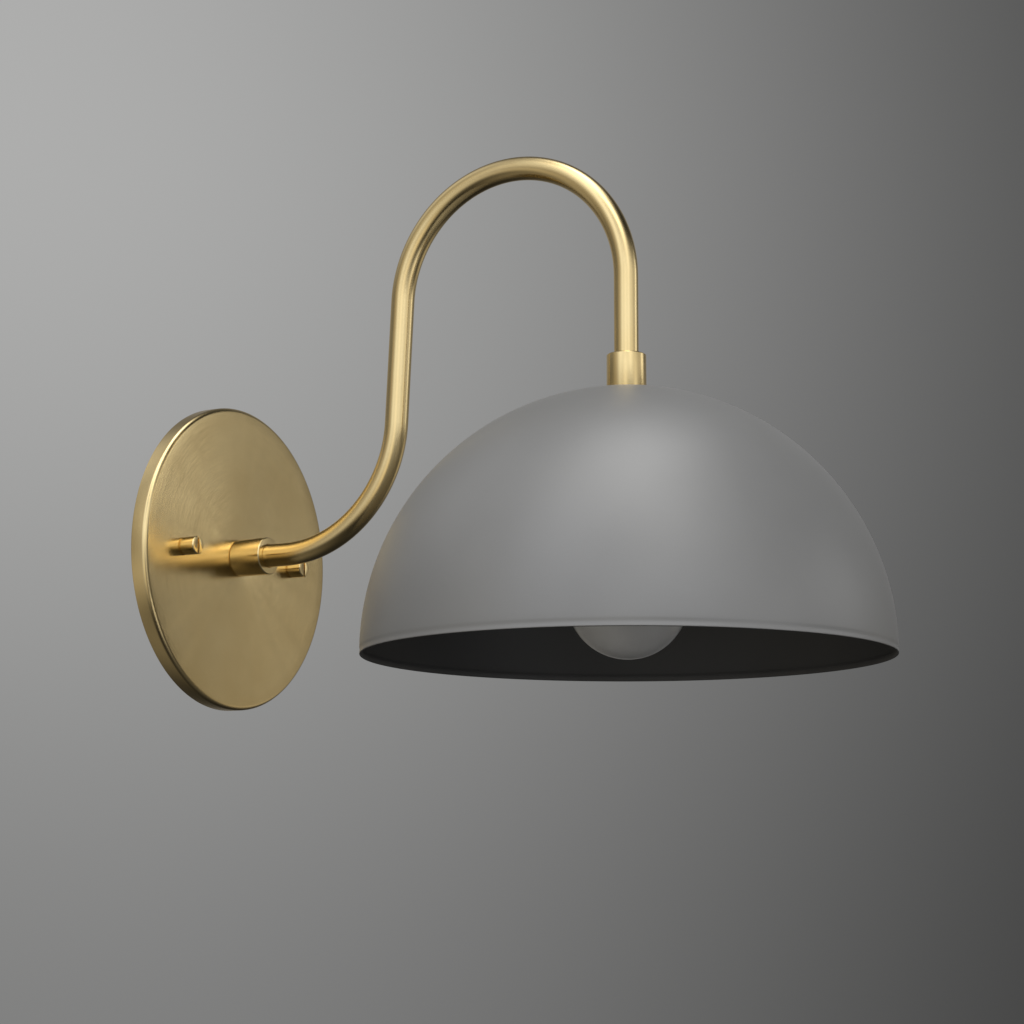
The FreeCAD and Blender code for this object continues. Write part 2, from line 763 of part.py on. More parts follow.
def bulb_insulator():
    top = bulb_tip - base_tip_height
    bottom = top - insulator_height
    body = (Outline(0, top).line(insulator_top_radius, top).line(insulator_radius, bottom)
            .line(0, bottom).turned())
    return on_lamp(body)


def bulb_base_shell():
    """The thin screw cap of the bulb, closed round the insulator."""
    top = bulb_tip - base_tip_height - insulator_height
    shoulder = top - (base_radius - insulator_radius) / 2
    bottom = bulb_tip - base_length
    inner = base_radius - base_wall
    body = (Outline(0, top).line(insulator_radius, top).line(base_radius, shoulder)
            .line(base_radius, bottom).line(inner, bottom).line(inner, shoulder - base_wall)
            .line(insulator_radius, top - base_wall).line(0, top - base_wall).turned())
    return on_lamp(body)


def bulb_stem():
    """The glass mount inside the bulb: a flare, a stalk and a pinched end."""
    top = bulb_tip - base_length + base_wall
    press = top - stem_length
    body = (Outline(0, top).line(stem_flare_radius, top).line(stem_flare_radius, top - bulb_glass)
            .line(stem_radius, top - stem_flare_length).line(stem_radius, press + stem_radius)
            .arc(0, press + stem_radius, 0, press).turned())
    pinch_top = press + stem_pinch_length
    slab = block(-stem_radius, -stem_radius, press, stem_radius, stem_radius, pinch_top)
    kept = block(-stem_radius, -stem_radius / 2, press, stem_radius, stem_radius / 2, pinch_top)
    return on_lamp(body.cut(slab.cut(kept)))


def bulb_support_wires():
    """Two wires from the stem's pinched end, each with a bead that holds the filament."""
    press = FreeCAD.Vector(0, -arm_reach, bulb_tip - base_length + base_wall - stem_length + stem_radius)
    wires = []
    for side in (-1, 1):
        hook = FreeCAD.Vector(side * filament_half_span, -arm_reach, bulb_tip - filament_drop)
        heading = (hook - press).normalize()
        start = press + heading * (stem_radius + touch_gap)
        wires.append(rod(support_wire_radius, (hook - start).Length, start, heading)
                     .fuse(Part.makeSphere(wire_hook_radius, hook)))
    return Part.makeCompound(wires)


def bulb_filament():
    """The coiled wire, as its outer round, arched between the support wires."""
    level = bulb_tip - filament_drop
    span = filament_half_span - 2 * filament_radius
    ends = [FreeCAD.Vector(side * span, -arm_reach, level) for side in (-1, 1)]
    arch = Part.Arc(ends[0], FreeCAD.Vector(0, -arm_reach, level - filament_rise), ends[1])
    edge = arch.toShape()
    section = Part.Wire(Part.makeCircle(filament_radius, ends[0], edge.tangentAt(edge.FirstParameter)))
    body = Part.Wire([edge]).makePipeShell([section], True, False)
    return body.cut(bulb_support_wires())


# ---- every piece under its name -------------------------------------------------------

hub_collar = on_wall(collar(canopy_depth))
hub_nipple = on_wall(nipple(hub_nipple_end, canopy_depth + nipple_engagement))
hub_lock_nut = on_wall(hexagon(lock_nut_flats, hub_nut_face - lock_nut_height, hub_nut_face,
                               nipple_radius + thread_clearance))
hub_tooth_washer = on_wall(tooth_washer(inside_face - tooth_washer_thickness, inside_face))
shade_tooth_washer = on_lamp(tooth_washer(shade_nut_top, shade_nut_top + tooth_washer_thickness))
shade_lock_nut = on_lamp(hexagon(lock_nut_flats, cap_top, shade_nut_top, nipple_radius + thread_clearance))
shade_nipple = on_lamp(nipple(shade_nipple_end, shade_crown + nipple_engagement))

pieces = {
    "mounting_plate": mounting_plate(),
    "canopy_studs": studs(),
    "stud_lock_nuts": stud_nuts(),
    "earth_screw": earth_screw(),
    "earth_lug": earth_lug(),
    "earth_lead": earth_lead(),
    "earth_lead_core": earth_core(),
    "canopy": canopy(),
    "cap_nut_washer_left": cap_nut_washer(-1),
    "cap_nut_left": cap_nut(-1),
    "cap_nut_washer_right": cap_nut_washer(1),
    "cap_nut_right": cap_nut(1),
    "hub_collar": hub_collar,
    "hub_nipple": hub_nipple,
    "hub_tooth_washer": hub_tooth_washer,
    "hub_lock_nut": hub_lock_nut,
    "hub_bushing": on_wall(nipple_bushing(hub_nipple_end, 1)),
    "arm_tube": arm_tube(),
    "lower_collar": on_lamp(collar(shade_crown)),
    "shade_nipple": shade_nipple,
    "shade": shade(),
    "shade_washer": shade_washer(),
    "shade_tooth_washer": shade_tooth_washer,
    "shade_lock_nut": shade_lock_nut,
    "holder_cap": holder_cap(),
    "holder_bushing": on_lamp(nipple_bushing(shade_nipple_end, 1)),
    "holder_body": holder_body(),
    "holder_side_screws": side_screws(),
    "holder_screw_shell": screw_shell(),
    "contact_leaf": contact_leaf(),
    "contact_rivets": contact_rivets(),
    "line_terminal": line_terminal(),
    "neutral_terminal": neutral_terminal(),
    "line_screw": terminal_screw(1, web_under),
    "neutral_screw": terminal_screw(-1, web_under - shell_wall),
    "line_lead": lead(1),
    "neutral_lead": lead(-1),
    "lead_cores": lead_cores(),
    "bulb_foot_contact": bulb_foot(),
    "bulb_insulator": bulb_insulator(),
    "bulb_base_shell": bulb_base_shell(),
    "bulb_glass": bulb_glass_envelope(),
    "bulb_stem": bulb_stem(),
    "bulb_support_wires": bulb_support_wires(),
    "bulb_filament": bulb_filament(),
}

os.makedirs("parts", exist_ok=True)
for name, shape in pieces.items():
    shape.exportStep(f"parts/{name}.step")
print("pieces:", len(pieces), "rim height:", round(shade_rim, 2), "bulb tip:", round(bulb_tip, 2),
      "bulb end:", round(bulb_centre - bulb_radius, 2))
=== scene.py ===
import json
import math

import bpy
from mathutils import Matrix, Vector

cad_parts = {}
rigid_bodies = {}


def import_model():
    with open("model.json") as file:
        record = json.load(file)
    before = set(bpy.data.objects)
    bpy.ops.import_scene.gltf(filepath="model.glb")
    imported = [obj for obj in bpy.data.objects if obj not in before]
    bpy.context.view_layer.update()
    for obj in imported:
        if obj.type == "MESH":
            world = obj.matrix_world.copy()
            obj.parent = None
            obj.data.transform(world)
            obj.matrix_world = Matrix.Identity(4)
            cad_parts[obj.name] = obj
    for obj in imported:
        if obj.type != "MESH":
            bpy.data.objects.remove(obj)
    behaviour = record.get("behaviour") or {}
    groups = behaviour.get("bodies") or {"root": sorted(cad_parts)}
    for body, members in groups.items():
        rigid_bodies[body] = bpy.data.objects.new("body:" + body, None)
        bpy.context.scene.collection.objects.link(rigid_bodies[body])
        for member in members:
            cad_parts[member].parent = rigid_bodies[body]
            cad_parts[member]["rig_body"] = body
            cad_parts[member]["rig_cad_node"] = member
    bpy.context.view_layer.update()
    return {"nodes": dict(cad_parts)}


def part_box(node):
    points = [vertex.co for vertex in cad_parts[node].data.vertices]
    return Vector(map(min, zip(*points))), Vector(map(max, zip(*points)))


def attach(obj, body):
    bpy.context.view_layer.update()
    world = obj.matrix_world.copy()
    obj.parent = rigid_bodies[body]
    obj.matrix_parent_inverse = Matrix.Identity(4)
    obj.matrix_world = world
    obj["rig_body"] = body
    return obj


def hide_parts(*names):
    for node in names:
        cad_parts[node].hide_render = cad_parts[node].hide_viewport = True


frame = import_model()
print("frame loaded:", len(frame["nodes"]), "nodes")

mm = 0.001
nothing = 1e-6  # two points this close are one point


view = {
    "place": (-0.9644, -0.71086, -0.17308),
    "turn": (101.334, -0.0702, -61.7916),
    "lens": 79.84,
    "sensor": 36.0,
    "shift": (-0.03654, -0.07073),
}


def placeCamera():
    bpy.ops.object.camera_add(location=view["place"], rotation=[math.radians(a) for a in view["turn"]])
    camera = bpy.context.object
    camera.name = "photoCamera"
    camera.data.lens, camera.data.sensor_width = view["lens"], view["sensor"]
    camera.data.shift_x, camera.data.shift_y = view["shift"]
    bpy.context.scene.camera = camera


studio = {
    "warm": (1.06, 0.985, 0.83),
    "cool": (0.97, 1.005, 1.08),
    "plain": (1.0, 1.0, 1.0),
    "ambient": 0.02,
    "backdrop": (0.425, 0.425, 0.42),
    # the backdrop's grading is painted shade: darker low down, and darker towards the dark way and the way
    # opposite
    "backdrop dark way": 95,
    "backdrop aside": (0.08, 0.60, 0.18, 1.0),
    "backdrop height": (-0.10, 0.34, 0.50, 1.0),
    "floor height": -1.5,
    "floor radius": 20.0,
    "floor sides": 128,
    "floor roughness": 0.85,
    "floor colour": (0.50, 0.50, 0.495, 1),
}
softLights = [
    # azimuth (0 straight out from the wall, -58 the camera's side), elevation, tightness, strength, tint
    (0, 85, 30, 4.0, "plain"),
    (-50, 62, 30, 2.0, "plain"),
    (-95, 60, 30, 1.75, "plain"),
    (-40, 45, 23, 1.8, "plain"),
    (-100, 40, 23, 1.3, "cool"),
    (-168, 45, 12, 0.7, "plain"),
    (-130, 20, 23, 0.37, "warm"),
    (-100, 15, 23, 0.97, "cool"),
    (-70, 15, 23, 1.25, "cool"),
    (-40, 15, 23, 1.23, "cool"),
    (-10, 15, 23, 0.82, "plain"),
    (18, 15, 30, 0.55, "plain"),
    (38, 15, 80, 1.4, "plain"),
    (48, 15, 60, 0.3, "plain"),
    (100, 20, 8, 0.27, "plain"),
    (150, 10, 8, 0.26, "warm"),
    (-160, -10, 23, 0.28, "warm"),
    (-130, -12, 23, 0.4, "warm"),
    (-100, -12, 23, 0.54, "plain"),
    (-70, -14, 23, 0.8, "warm"),
    (-10, -14, 23, 1.05, "plain"),
    (60, -10, 23, 0.43, "warm"),
    (20, -40, 8, 0.07, "plain"),
    (-150, -50, 8, 0.17, "warm"),
]


def direction(azimuth, elevation):
    a, e = math.radians(azimuth), math.radians(elevation)
    return Vector((math.sin(a) * math.cos(e), -math.cos(a) * math.cos(e), math.sin(e)))


def plug(tree, spot, value):
    if isinstance(value, Wire):
        tree.links.new(value.socket, spot)
    elif value is not None:
        spot.default_value = value


class Wire:
    # an output socket that takes + - * / ** in either order and becomes Math nodes
    def __init__(self, tree, socket):
        self.tree, self.socket = tree, socket

    def maths(self, operation, first, second=None):
        made = self.tree.nodes.new("ShaderNodeMath")
        made.operation = operation
        plug(self.tree, made.inputs[0], first)
        plug(self.tree, made.inputs[1], second)
        return Wire(self.tree, made.outputs[0])

    def __add__(self, other):
        return self.maths("ADD", self, other)

    def __radd__(self, other):
        return self.maths("ADD", other, self)

    def __sub__(self, other):
        return self.maths("SUBTRACT", self, other)

    def __rsub__(self, other):
        return self.maths("SUBTRACT", other, self)

    def __mul__(self, other):
        return self.maths("MULTIPLY", self, other)

    def __rmul__(self, other):
        return self.maths("MULTIPLY", other, self)

    def __truediv__(self, other):
        return self.maths("DIVIDE", self, other)

    def __pow__(self, other):
        return self.maths("POWER", self, other)


class Shading:
    # a node tree, of a material or of the world
    def __init__(self, tree):
        self.tree = tree

    def plugInto(self, nodeName, values):
        for name, value in values.items():
            plug(self.tree, self.tree.nodes[nodeName].inputs[name], value)

    def node(self, kind, settings=None, sockets=None, output=0):
        made = self.tree.nodes.new("ShaderNode" + kind)
        for name, value in (settings or {}).items():
            setattr(made, name, value)
        for name, value in (sockets or {}).items():
            plug(self.tree, made.inputs[name], value)
        return Wire(self.tree, made.outputs[output])

    def place(self):
        return self.node("TexCoord", output="Object")

    def vector(self, x, y, z):
        return self.node("CombineXYZ", None, {0: x, 1: y, 2: z})

    def parts(self, vector):
        split = self.tree.nodes.new("ShaderNodeSeparateXYZ")
        plug(self.tree, split.inputs[0], vector)
        return [Wire(self.tree, out) for out in split.outputs]

    def noise(self, vector, scale, detail=2.0, roughness=0.5):
        return self.node("TexNoise", None, {"Vector": vector, "Scale": scale, "Detail": detail,
                                            "Roughness": roughness})

    def mix(self, factor, first, second):
        return self.node("Mix", {"data_type": "RGBA"}, {0: factor, 6: first, 7: second}, 2)

    def maths(self, operation, first, second=None):
        return self.node("Math", {"operation": operation}, {0: first, 1: second})

    def spread(self, value, low, high, start=0.0, end=1.0, ease="LINEAR"):
        return self.node("MapRange", {"clamp": True, "interpolation_type": ease},
                         {0: value, 1: low, 2: high, 3: start, 4: end})

    def mottled(self, value):
        # noise gathers round its middle, so its inner range is spread over the whole tone
        return self.spread(value, 0.35, 0.65)

    def vectorMaths(self, operation, first, second=None):
        return self.node("VectorMath", {"operation": operation}, {0: first, 1: second})

    def tinted(self, colour, amount):
        return self.vectorMaths("MULTIPLY", colour, self.vector(amount, amount, amount))

    def leaned(self, way, amount):
        # the surface's own normal, tipped along a direction by an amount
        turned = self.node("VectorTransform", {"vector_type": "VECTOR", "convert_from": "OBJECT",
                                               "convert_to": "WORLD"}, {0: way})
        step = self.vectorMaths("MULTIPLY", turned, self.vector(amount, amount, amount))
        normal = self.node("NewGeometry", output="Normal")
        return self.vectorMaths("NORMALIZE", self.vectorMaths("ADD", normal, step))

    def bump(self, height, distance, below=None):
        return self.node("Bump", None, {"Strength": 1.0, "Distance": distance, "Height": height,
                                        "Normal": below})


class Finish(Shading):
    # one material with its Principled shader
    def __init__(self, name, plain):
        self.material = bpy.data.materials.new(name)
        self.material.use_nodes = True
        super().__init__(self.material.node_tree)
        self.feed(plain)

    def feed(self, values):
        self.plugInto("Principled BSDF", values)


def around(finish, axis, centre, fine, coarse):
    # brushing that runs round an axis: where a point lies across and along its strokes,
    # and which way is across
    x, y, z = finish.parts(finish.place())
    x = x - centre[0]
    if axis == "Y":
        across, along = z - centre[2], y
    else:
        across, along = y - centre[1], z
    radial = (x * x + across * across) ** 0.5 + nothing
    cosine, sine = x / radial, across / radial
    stroke = finish.vector((radial + along) * fine, cosine * coarse, sine * coarse)
    way = finish.vector(cosine, 1.0, sine) if axis == "Y" else finish.vector(cosine, sine, 1.0)
    return stroke, way


brass = {
    "colour": (0.78, 0.61, 0.31, 1),
    "deep": (0.73, 0.555, 0.265, 1),
    "roughness": 0.19,
    "tilt": 0.65,
    "lacquer": 0.15,
    "lacquer roughness": 0.2,
    "hub lines": (80000, 5.0),
    "drop lines": (80000, 8.0),
    "tube lines": (60000, 8.0),
}


def brushedBrass(name, strokes, tilt=1.0, roughness=0.0):
    # strokes gives the coordinates of the brushing and the way across it, from the finish itself
    f = Finish(name, {"Metallic": 1.0, "Coat Roughness": brass["lacquer roughness"], "Coat IOR": 1.5})
    stroke, way = strokes(f)
    fineLines = f.noise(stroke, 1.0, 2.0, 0.6)
    wideLines = f.noise(stroke, 0.05, 2.0, 0.5)
    broad = f.noise(f.place(), 35.0, 3.0, 0.55)
    speck = f.noise(f.place(), 900.0, 2.0, 0.6)
    tone = f.mottled(broad * 0.6 + fineLines * 0.35 + wideLines * 0.05)
    lean = ((fineLines - 0.5) + (wideLines - 0.5) * 0.012) * (brass["tilt"] * tilt)
    f.feed({
        "Base Color": f.mix(tone, brass["deep"], brass["colour"]),
        "Roughness": brass["roughness"] + roughness + (broad - 0.5) * 0.08 + (speck - 0.5) * 0.06,
        "Coat Weight": brass["lacquer"] + (broad - 0.5) * 0.06,
        "Normal": f.leaned(way, lean),
    })
    return f.material


def hubStrokes(f):
    return around(f, "Y", (0, 0, 0), *brass["hub lines"])


def dropStrokes(f):
    return around(f, "Z", (0, lampY, 0), *brass["drop lines"])


def tubeStrokes(f):
    along, cosine, sine = f.parts(f.node("Attribute", {"attribute_name": "tubePlace"}, None, 1))
    heading = f.node("Attribute", {"attribute_name": "tubeHeading"}, None, 1)
    fine, coarse = brass["tube lines"]
    return f.vector(along * fine, cosine * coarse, sine * coarse), heading


paint = {
    "outside": (0.275, 0.2725, 0.266, 1),
    "outside shade": (0.25, 0.2475, 0.242, 1),
    "inside": (0.075, 0.075, 0.076, 1),
    "inside shade": (0.06, 0.06, 0.061, 1),
    "outside roughness": 0.43,
    "outside flake": 0.25,
    "inside roughness": 0.55,
}


def paintFinish(name, light, dark, roughness, flake=0.0):
    # matte coat: a fine pebble, a slow orange peel under it and a little unevenness in tone
    f = Finish(name, {"IOR": 1.45, "Metallic": flake})
    spot = f.place()
    pebble = f.noise(spot, 2600.0, 2.0, 0.5)
    peel = f.noise(spot, 260.0, 2.0, 0.5)
    broad = f.noise(spot, 14.0, 3.0, 0.5)
    f.feed({
        "Base Color": f.mix(f.mottled(broad * 0.7 + pebble * 0.3), dark, light),
        "Roughness": roughness + (pebble - 0.5) * 0.08 + (broad - 0.5) * 0.05,
        "Normal": f.bump(pebble, 0.018 * mm, f.bump(peel, 0.03 * mm)),
    })
    return f.material


def plainMetal(name, colour, dark, roughness, scale=400.0, height=0.004):
    f = Finish(name, {"Metallic": 1.0})
    spot = f.place()
    grain = f.noise(spot, scale, 3.0, 0.6)
    broad = f.noise(spot, scale * 0.12, 3.0, 0.5)
    f.feed({
        "Base Color": f.mix(f.mottled(broad), dark, colour),
        "Roughness": roughness + (grain - 0.5) * 0.14,
        "Normal": f.bump(grain, height * mm),
    })
    return f.material


def zincFinish():
    # bright zinc plate: soft crystal patches, a faint yellow and blue cast and handling marks
    f = Finish("zincPlate", {"Metallic": 1.0})
    spot = f.place()
    crystal = f.node("TexVoronoi", {"feature": "SMOOTH_F1"}, {"Vector": spot, "Scale": 420.0}, 1)
    broad = f.noise(spot, 45.0, 4.0, 0.6)
    grain = f.noise(spot, 1500.0, 2.0, 0.6)
    cast = f.mix(f.mottled(broad), (0.60, 0.62, 0.67, 1), (0.70, 0.69, 0.62, 1))
    grey = f.node("RGBToBW", None, {0: crystal})
    f.feed({
        "Base Color": f.mix(grey * 0.25, cast, (0.42, 0.43, 0.46, 1)),
        "Roughness": 0.27 + grey * 0.12 + (broad - 0.5) * 0.2,
        "Normal": f.bump(grain, 0.002 * mm),
    })
    return f.material


def plasticFinish(name, colour, dark, roughness=0.42, coat=0.0):
    f = Finish(name, {"IOR": 1.5, "Coat Weight": coat, "Coat Roughness": 0.2})
    spot = f.place()
    grain = f.noise(spot, 1800.0, 2.0, 0.5)
    broad = f.noise(spot, 90.0, 3.0, 0.5)
    f.feed({
        "Base Color": f.mix(f.mottled(broad), dark, colour),
        "Roughness": roughness + (grain - 0.5) * 0.16,
        "Normal": f.bump(grain, 0.006 * mm),
    })
    return f.material


def porcelainFinish():
    # white glaze over a slightly uneven body, with a few dark firing specks
    f = Finish("porcelainGlaze", {"IOR": 1.5, "Coat Weight": 0.7, "Coat Roughness": 0.05})
    spot = f.place()
    wave = f.noise(spot, 120.0, 3.0, 0.5)
    fleck = f.noise(spot, 1400.0, 1.0, 0.4)
    mask = f.spread(fleck, 0.74, 0.80)
    body = f.mix(f.mottled(wave), (0.80, 0.78, 0.72, 1), (0.88, 0.87, 0.83, 1))
    f.feed({
        "Base Color": f.mix(mask * 0.6, body, (0.30, 0.25, 0.20, 1)),
        "Roughness": 0.24 + (wave - 0.5) * 0.1,
        "Normal": f.bump(wave, 0.05 * mm),
    })
    return f.material


def frostedGlass():
    # white coated glass: mostly a soft diffuse body under a smooth outer skin
    f = Finish("frostedGlass", {"IOR": 1.5, "Coat Weight": 0.9, "Coat Roughness": 0.08,
                                "Transmission Weight": 0.1})
    spot = f.place()
    cloud = f.noise(spot, 60.0, 3.0, 0.5)
    grain = f.noise(spot, 2400.0, 2.0, 0.6)
    f.feed({
        "Base Color": f.mix(f.mottled(cloud), (0.80, 0.805, 0.815, 1), (0.88, 0.885, 0.895, 1)),
        "Roughness": 0.42 + (grain - 0.5) * 0.12,
        "Normal": f.bump(cloud, 0.02 * mm),
    })
    return f.material


def clearGlass():
    f = Finish("clearGlass", {"IOR": 1.5, "Transmission Weight": 1.0, "Base Color": (0.93, 0.97, 0.95, 1)})
    wave = f.noise(f.place(), 200.0, 2.0, 0.5)
    f.feed({"Roughness": 0.03 + wave * 0.04, "Normal": f.bump(wave, 0.02 * mm)})
    return f.material


def copperFinish():
    f = Finish("bareCopper", {"Metallic": 1.0})
    spot = f.place()
    tarnish = f.noise(spot, 500.0, 3.0, 0.6)
    f.feed({
        "Base Color": f.mix(f.mottled(tarnish), (0.60, 0.27, 0.14, 1), (0.86, 0.47, 0.30, 1)),
        "Roughness": 0.24 + tarnish * 0.16,
        "Normal": f.bump(tarnish, 0.004 * mm),
    })
    return f.material


onWall = Matrix.Rotation(math.radians(90), 4, "X")  # +Z becomes the way out of the wall


def middleOf(name):
    low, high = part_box(name)
    return (low + high) / 2


def radiusOf(name):
    low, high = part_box(name)
    return (high.x - low.x) / 2


lampY = middleOf("shade").y
onLamp = Matrix.Translation((0, lampY, 0))


def alone(piece):
    bpy.ops.object.select_all(action="DESELECT")
    piece.select_set(True)
    bpy.context.view_layer.objects.active = piece


def editing(on):
    bpy.ops.object.mode_set(mode="EDIT" if on else "OBJECT")


def applied(piece, kind, **settings):
    alone(piece)
    modifier = piece.modifiers.new(kind.lower(), kind)
    for name, value in settings.items():
        setattr(modifier, name, value)
    bpy.ops.object.modifier_apply(modifier=modifier.name)


def settled(piece, place=None):
    alone(piece)
    if place:
        piece.matrix_world = place @ piece.matrix_world
    bpy.ops.object.transform_apply(location=True, rotation=True, scale=True)


def arcPoints(centre, start, end, steps):
    # the short way round the centre, both ends included
    c, a, b = Vector(centre), Vector(start), Vector(end)
    first, last = (math.atan2(p.y - c.y, p.x - c.x) for p in (a, b))
    turn = (last - first + math.pi) % (2 * math.pi) - math.pi
    radius = (a - c).length
    angles = [first + turn * i / steps for i in range(steps + 1)]
    return [(c.x + radius * math.cos(angle), c.y + radius * math.sin(angle)) for angle in angles]


def rounded(corners, steps=5):
    # corners are (radius, height, fillet); a fillet of 0 stays sharp; the outline closes on itself
    points = []
    for i, (r, h, fillet) in enumerate(corners):
        here = Vector((r, h))
        if fillet <= 0:
            points.append((r, h))
            continue
        back = (Vector(corners[i - 1][:2]) - here).normalized()
        on = (Vector(corners[(i + 1) % len(corners)][:2]) - here).normalized()
        half = back.angle(on) / 2
        reach = fillet / math.tan(half)
        centre = here + (back + on).normalized() * (fillet / math.sin(half))
        points += arcPoints(centre, here + back * reach, here + on * reach, steps)
    return points


def drawn(name, points):
    # a plane merged to a point, then pulled from point to point
    bpy.ops.object.select_all(action="DESELECT")
    bpy.ops.mesh.primitive_plane_add(size=mm, location=(points[0][0], 0, points[0][1]))
    piece = bpy.context.object
    piece.name = name
    editing(True)
    bpy.ops.mesh.select_mode(type="VERT")
    bpy.ops.mesh.select_all(action="SELECT")
    bpy.ops.mesh.merge(type="CENTER")
    for (r0, h0), (r1, h1) in zip(points, points[1:]):
        bpy.ops.mesh.extrude_vertices_move(TRANSFORM_OT_translate={"value": (r1 - r0, 0, h1 - h0)})
    return piece


def turned(name, points, sides=96):
    # the outline is drawn in the XZ plane and spun round Z
    piece = drawn(name, points + points[:1])
    bpy.ops.mesh.select_all(action="SELECT")
    bpy.ops.mesh.spin(steps=sides, angle=2 * math.pi, center=(0, 0, 0), axis=(0, 0, 1))
    bpy.ops.mesh.select_all(action="SELECT")
    bpy.ops.mesh.remove_doubles(threshold=nothing)
    bpy.ops.mesh.normals_make_consistent(inside=False)
    editing(False)
    settled(piece)
    return piece


def cylinder(radius, low, high, sides=48, x=0.0):
    bpy.ops.object.select_all(action="DESELECT")
    bpy.ops.mesh.primitive_cylinder_add(vertices=sides, radius=radius, depth=high - low,
                                        location=(x, 0, (low + high) / 2))
    tool = bpy.context.object
    settled(tool)
    return tool


def bar(size, centre):
    bpy.ops.object.select_all(action="DESELECT")
    bpy.ops.mesh.primitive_cube_add(size=1, location=centre, scale=size)
    tool = bpy.context.object
    settled(tool)
    return tool


def cutBy(piece, tool, operation="DIFFERENCE"):
    applied(piece, "BOOLEAN", object=tool, operation=operation, solver="EXACT")
    bpy.data.objects.remove(tool)


def threaded(name, crest, root, pitch, low, high, sides=40, wave=False):
    # one pitch of the thread's outline, wound up by the screw modifier and trimmed flat at both ends
    if wave:
        middle, swing = (crest + root) / 2, (crest - root) / 2
        outline = [(middle + swing * math.cos(2 * math.pi * i / 12), pitch * i / 12) for i in range(13)]
    else:
        crestStart, crestEnd, flankEnd = 0.38, 0.50, 0.88  # shares of the pitch
        outline = [(root, 0), (crest, pitch * crestStart), (crest, pitch * crestEnd),
                   (root, pitch * flankEnd), (root, pitch)]
    piece = drawn(name, [(r, h + low - pitch) for r, h in outline])
    editing(False)
    settled(piece)
    turns = math.ceil((high - low) / pitch) + 2
    applied(piece, "SCREW", angle=2 * math.pi, screw_offset=pitch, iterations=turns, steps=sides,
            render_steps=sides, use_merge_vertices=True, merge_threshold=nothing)
    editing(True)
    for height, side in ((low, "clear_inner"), (high, "clear_outer")):
        bpy.ops.mesh.select_all(action="SELECT")
        bpy.ops.mesh.bisect(plane_co=(0, 0, height), plane_no=(0, 0, 1), use_fill=True, **{side: True})
    bpy.ops.mesh.select_all(action="SELECT")
    bpy.ops.mesh.remove_doubles(threshold=nothing)
    bpy.ops.mesh.normals_make_consistent(inside=False)
    editing(False)
    return piece


def joined(name, *pieces):
    bpy.ops.object.select_all(action="DESELECT")
    for piece in pieces:
        piece.select_set(True)
    bpy.context.view_layer.objects.active = pieces[0]
    bpy.ops.object.join()
    pieces[0].name = name
    return pieces[0]


def finished(piece, body, materials, nodes, angle=35):
    alone(piece)
    bpy.ops.object.shade_smooth_by_angle(angle=math.radians(angle))
    piece.data.materials.clear()
    for material in materials if isinstance(materials, (list, tuple)) else [materials]:
        piece.data.materials.append(material)
    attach(piece, body)
    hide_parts(*nodes)
    return piece


def smoothedCopy(node, material, body="fixture"):
    # the node's own shape, merged and shaded smooth
    piece = frame["nodes"][node].copy()
    piece.data = frame["nodes"][node].data.copy()
    piece.name = node + "Dressed"
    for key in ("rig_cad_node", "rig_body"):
        if key in piece:
            del piece[key]
    bpy.context.scene.collection.objects.link(piece)
    piece.parent = None
    alone(piece)
    editing(True)
    bpy.ops.mesh.select_all(action="SELECT")
    bpy.ops.mesh.remove_doubles(threshold=nothing)
    editing(False)
    return finished(piece, body, material, [node])


canopy = {
    "wall": 1.2 * mm,
    "edge": 2.4 * mm,
    "back edge": 0.35 * mm,
    "bore": 5.5 * mm,
    "bore edge": 0.2 * mm,
    "stud hole": 2.43 * mm,
    "rings": (0.3, 0.6, 0.9),
    "sides": 192,
}


def buildCanopy():
    low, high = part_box("canopy")
    radius, depth = (high.x - low.x) / 2, -low.y
    wall, edge = canopy["wall"], canopy["edge"]
    inner, inside = radius - wall, depth - wall
    corners = [(canopy["bore"], depth, canopy["bore edge"])]
    corners += [(radius * share, depth, 0) for share in canopy["rings"]]
    corners += [(radius, depth, edge), (radius, 0, canopy["back edge"]), (inner, 0, canopy["back edge"]),
                (inner, inside, edge - wall), (canopy["bore"], inside, 0)]
    piece = turned("backplate", rounded(corners, 8), canopy["sides"])
    for side in ("left", "right"):
        x = middleOf("cap_nut_" + side).x
        cutBy(piece, cylinder(canopy["stud hole"], inside - mm, depth + mm, x=x))
    settled(piece, onWall)
    plate = brushedBrass("backplateBrass", hubStrokes)
    return finished(piece, "fixture", plate, ["canopy"])


capNut = {
    "chamfer": 0.5 * mm,
    "edge": 0.12 * mm,
    "hole": 2.16 * mm,
    "hole depth": 5.25 * mm,
    "thread depth": 0.35 * mm,
    "pitch": 0.79375 * mm,
    "slot width": 1.2 * mm,
    "slot depth": 1.4 * mm,
    "slot edge": 0.12 * mm,
    "foot chamfer": 0.35 * mm,
    "mouth": 0.3 * mm,
    "sides": 72,
}
nutWasher = {
    "play": 0.02 * mm,
    "edge": 0.15 * mm,
    "sides": 64,
}


